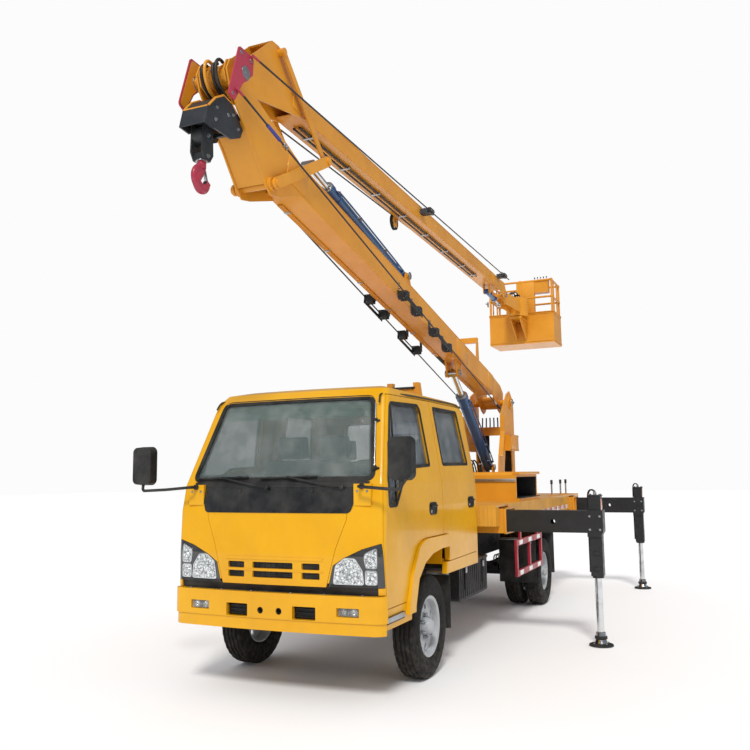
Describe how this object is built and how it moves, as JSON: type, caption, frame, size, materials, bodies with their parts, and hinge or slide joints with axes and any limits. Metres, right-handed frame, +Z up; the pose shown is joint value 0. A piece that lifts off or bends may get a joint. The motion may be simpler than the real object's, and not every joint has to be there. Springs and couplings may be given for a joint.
{
  "type": "cherry picker truck",
  "caption": "Cab-over double-cab truck with a slewing turret, folding two-part boom, work basket, lifting hook and four outriggers.",
  "frame": {"origin": "floor under the middle of the machine's bounding box", "axes": "+X forward, the way the cab faces; +Y to the truck's left; +Z up"},
  "size_m": [9.6961, 3.9698, 4.775],
  "materials": {
    "yellow": "gloss",
    "boom_yellow": "gloss",
    "black": "satin",
    "chassis_black": "satin",
    "tyre": "matte",
    "steel": "satin",
    "chrome": "polished",
    "blue": "gloss",
    "red": "gloss",
    "glass": "gloss",
    "interior": "matte",
    "rope": "matte",
    "iron": "rough",
    "guard": "gloss",
    "mirror": "matte",
    "lens": "gloss"
  },
  "bodies": {
    "chassis": {"chassis_frame": "chassis_black", "subframe": "chassis_black", "engine_block": "iron", "front_axle": "chassis_black", "rear_axle": "chassis_black", "cab_shell": "yellow", "front_panel": "yellow", "headlamps": "lens", "windscreen": "glass", "cab_interior": "interior", "front_bumper": "yellow", "mirrors": "mirror", "battery_box": "black", "deck": "boom_yellow", "toolbox": "boom_yellow", "outrigger_housings": "boom_yellow", "boom_cradle": "boom_yellow", "fuel_tank": "black", "side_guards": "guard", "turntable_base": "boom_yellow"},
    "turret": {"turret": "boom_yellow"},
    "lower_boom": {"lower_boom": "boom_yellow", "sheave_box": "black", "lower_levelling_ropes": "rope"},
    "upper_boom": {"upper_boom": "boom_yellow", "upper_levelling_ropes": "rope"},
    "levelling_plates": {"levelling_plates": "red"},
    "hook_block": {"hook_block": "black"},
    "luff_barrel": {"luff_cylinder_barrel": "blue"},
    "luff_rod": {"luff_cylinder_rod": "chrome"},
    "fold_barrel": {"fold_cylinder_barrel": "blue"},
    "fold_rod": {"fold_cylinder_rod": "chrome"},
    "lower_link": {"lower_fold_link": "boom_yellow"},
    "upper_link": {"upper_fold_link": "boom_yellow"},
    "level_barrel": {"level_cylinder_barrel": "blue"},
    "level_rod": {"level_cylinder_rod": "chrome"},
    "basket_head": {"basket_head": "boom_yellow"},
    "basket": {"basket": "boom_yellow"},
    "knuckle_left": {"knuckle_left": "iron"},
    "front_wheel_left": {"front_tyre_left": "tyre", "front_rim_left": "steel"},
    "rear_wheels_left": {"rear_tyres_left": "tyre", "rear_rims_left": "steel"},
    "front_door_left": {"front_door_left": "yellow"},
    "rear_door_left": {"rear_door_left": "yellow"},
    "front_beam_left": {"front_outrigger_beam_left": "black"},
    "front_jack_left": {"front_jack_leg_left": "chrome"},
    "rear_beam_left": {"rear_outrigger_beam_left": "black"},
    "rear_jack_left": {"rear_jack_leg_left": "chrome"},
    "knuckle_right": {"knuckle_right": "iron"},
    "front_wheel_right": {"front_tyre_right": "tyre", "front_rim_right": "steel"},
    "rear_wheels_right": {"rear_tyres_right": "tyre", "rear_rims_right": "steel"},
    "front_door_right": {"front_door_right": "yellow"},
    "rear_door_right": {"rear_door_right": "yellow"},
    "front_beam_right": {"front_outrigger_beam_right": "black"},
    "front_jack_right": {"front_jack_leg_right": "chrome"},
    "rear_beam_right": {"rear_outrigger_beam_right": "black"},
    "rear_jack_right": {"rear_jack_leg_right": "chrome"}
  },
  "joints": [
    {"name": "steer_left", "type": "hinge", "parent": "chassis", "child": "knuckle_left", "pos_m": [2.872, 0.56, 0.3875], "axis": [0, 0, 1], "range_deg": [-36, 36]},
    {"name": "front_spin_left", "type": "hinge", "parent": "knuckle_left", "child": "front_wheel_left", "pos_m": [2.872, 0.75, 0.3875], "axis": [0, 1, 0], "continuous": true},
    {"name": "rear_spin_left", "type": "hinge", "parent": "chassis", "child": "rear_wheels_left", "pos_m": [-0.943, 0.73, 0.3875], "axis": [0, 1, 0], "continuous": true},
    {"name": "front_door_swing_left", "type": "hinge", "parent": "chassis", "child": "front_door_left", "pos_m": [3.772, 0.872, 1.2], "axis": [0, 0, -1], "range_deg": [0, 68]},
    {"name": "rear_door_swing_left", "type": "hinge", "parent": "chassis", "child": "rear_door_left", "pos_m": [2.527, 0.872, 1.2], "axis": [0, 0, -1], "range_deg": [0, 68]},
    {"name": "front_beam_slide_left", "type": "slide", "parent": "chassis", "child": "front_beam_left", "axis": [0, 1, 0], "range_m": [-0.74, 0]},
    {"name": "front_jack_slide_left", "type": "slide", "parent": "front_beam_left", "child": "front_jack_left", "axis": [0, 0, 1], "range_m": [0, 0.38]},
    {"name": "rear_beam_slide_left", "type": "slide", "parent": "chassis", "child": "rear_beam_left", "axis": [0, 1, 0], "range_m": [-0.74, 0]},
    {"name": "rear_jack_slide_left", "type": "slide", "parent": "rear_beam_left", "child": "rear_jack_left", "axis": [0, 0, 1], "range_m": [0, 0.38]},
    {"name": "steer_right", "type": "hinge", "parent": "chassis", "child": "knuckle_right", "pos_m": [2.872, -0.56, 0.3875], "axis": [0, 0, 1], "range_deg": [-36, 36]},
    {"name": "front_spin_right", "type": "hinge", "parent": "knuckle_right", "child": "front_wheel_right", "pos_m": [2.872, -0.75, 0.3875], "axis": [0, 1, 0], "continuous": true},
    {"name": "rear_spin_right", "type": "hinge", "parent": "chassis", "child": "rear_wheels_right", "pos_m": [-0.943, -0.73, 0.3875], "axis": [0, 1, 0], "continuous": true},
    {"name": "front_door_swing_right", "type": "hinge", "parent": "chassis", "child": "front_door_right", "pos_m": [3.772, -0.872, 1.2], "axis": [0, 0, 1], "range_deg": [0, 68]},
    {"name": "rear_door_swing_right", "type": "hinge", "parent": "chassis", "child": "rear_door_right", "pos_m": [2.527, -0.872, 1.2], "axis": [0, 0, 1], "range_deg": [0, 68]},
    {"name": "front_beam_slide_right", "type": "slide", "parent": "chassis", "child": "front_beam_right", "axis": [0, -1, 0], "range_m": [-0.74, 0]},
    {"name": "front_jack_slide_right", "type": "slide", "parent": "front_beam_right", "child": "front_jack_right", "axis": [0, 0, 1], "range_m": [0, 0.38]},
    {"name": "rear_beam_slide_right", "type": "slide", "parent": "chassis", "child": "rear_beam_right", "axis": [0, -1, 0], "range_m": [-0.74, 0]},
    {"name": "rear_jack_slide_right", "type": "slide", "parent": "rear_beam_right", "child": "rear_jack_right", "axis": [0, 0, 1], "range_m": [0, 0.38]},
    {"name": "turret_slew", "type": "hinge", "parent": "chassis", "child": "turret", "pos_m": [-1.918, 0, 1.333], "axis": [0, 0, 1], "continuous": true},
    {"name": "boom_luff", "type": "hinge", "parent": "turret", "child": "lower_boom", "pos_m": [-2.178, 0, 2.54], "axis": [0, -1, 0], "range_deg": [-11.8, 62]},
    {"name": "luff_cylinder_tilt", "type": "hinge", "parent": "turret", "child": "luff_barrel", "pos_m": [-1.928, 0, 1.64], "axis": [0, -1, 0], "range_deg": [-9.5, 46]},
    {"name": "luff_rod_slide", "type": "slide", "parent": "luff_barrel", "child": "luff_rod", "axis": [0.7955, 0, 0.606], "range_m": [-0.15, 0.72]},
    {"name": "levelling_plate_turn", "type": "hinge", "parent": "lower_boom", "child": "levelling_plates", "pos_m": [4.559, 0, 4.255], "axis": [0, 1, 0], "range_deg": [-12.5, 63]},
    {"name": "hook_swing", "type": "hinge", "parent": "lower_boom", "child": "hook_block", "pos_m": [4.762, 0, 3.86], "axis": [0, 1, 0], "range_deg": [-20, 62]},
    {"name": "boom_fold", "type": "hinge", "parent": "lower_boom", "child": "upper_boom", "pos_m": [4.559, 0, 4.255], "axis": [0, 1, 0], "range_deg": [-9, 140]},
    {"name": "lower_link_turn", "type": "hinge", "parent": "lower_boom", "child": "lower_link", "pos_m": [4.102, 0, 3.64], "axis": [0, 1, 0], "range_deg": [-6, 84]},
    {"name": "upper_link_turn", "type": "hinge", "parent": "upper_boom", "child": "upper_link", "pos_m": [3.952, 0, 4.72], "axis": [0, -1, 0], "range_deg": [-6, 86]},
    {"name": "fold_cylinder_tilt", "type": "hinge", "parent": "lower_boom", "child": "fold_barrel", "pos_m": [1.252, 0, 3.61], "axis": [0, -1, 0], "range_deg": [-1, 3]},
    {"name": "fold_rod_slide", "type": "slide", "parent": "fold_barrel", "child": "fold_rod", "axis": [0.9729, 0, 0.2313], "range_m": [-0.09, 1.26]},
    {"name": "basket_level", "type": "hinge", "parent": "upper_boom", "child": "basket_head", "pos_m": [-2.768, 0, 4.215], "axis": [0, -1, 0], "range_deg": [-25, 85]},
    {"name": "level_cylinder_tilt", "type": "hinge", "parent": "upper_boom", "child": "level_barrel", "pos_m": [-2.108, 0, 4.15], "axis": [0, 1, 0], "range_deg": [-4, 12.5]},
    {"name": "level_rod_slide", "type": "slide", "parent": "level_barrel", "child": "level_rod", "axis": [-0.9952, 0, -0.098], "range_m": [-0.14, 0.06]},
    {"name": "basket_swing", "type": "hinge", "parent": "basket_head", "child": "basket", "pos_m": [-3.958, 0, 4.2], "axis": [0, 0, 1], "range_deg": [-90, 90]}
  ],
  "couplings": [
    {"joint": "steer_right", "follows": "steer_left", "ratio": 1},
    {"joint": "luff_cylinder_tilt", "follows": "boom_luff", "ratio": 0.7205},
    {"joint": "luff_rod_slide", "follows": "boom_luff", "m_per_rad": 0.6458},
    {"joint": "levelling_plate_turn", "follows": "boom_luff", "ratio": 1},
    {"joint": "lower_link_turn", "follows": "boom_fold", "ratio": 0.5857},
    {"joint": "upper_link_turn", "follows": "boom_fold", "ratio": 0.5914},
    {"joint": "fold_cylinder_tilt", "follows": "boom_fold", "ratio": 0.0165},
    {"joint": "fold_rod_slide", "follows": "boom_fold", "m_per_rad": 0.4968},
    {"joint": "level_cylinder_tilt", "follows": "basket_level", "ratio": 0.134},
    {"joint": "level_rod_slide", "follows": "basket_level", "m_per_rad": -0.0877}
  ]
}
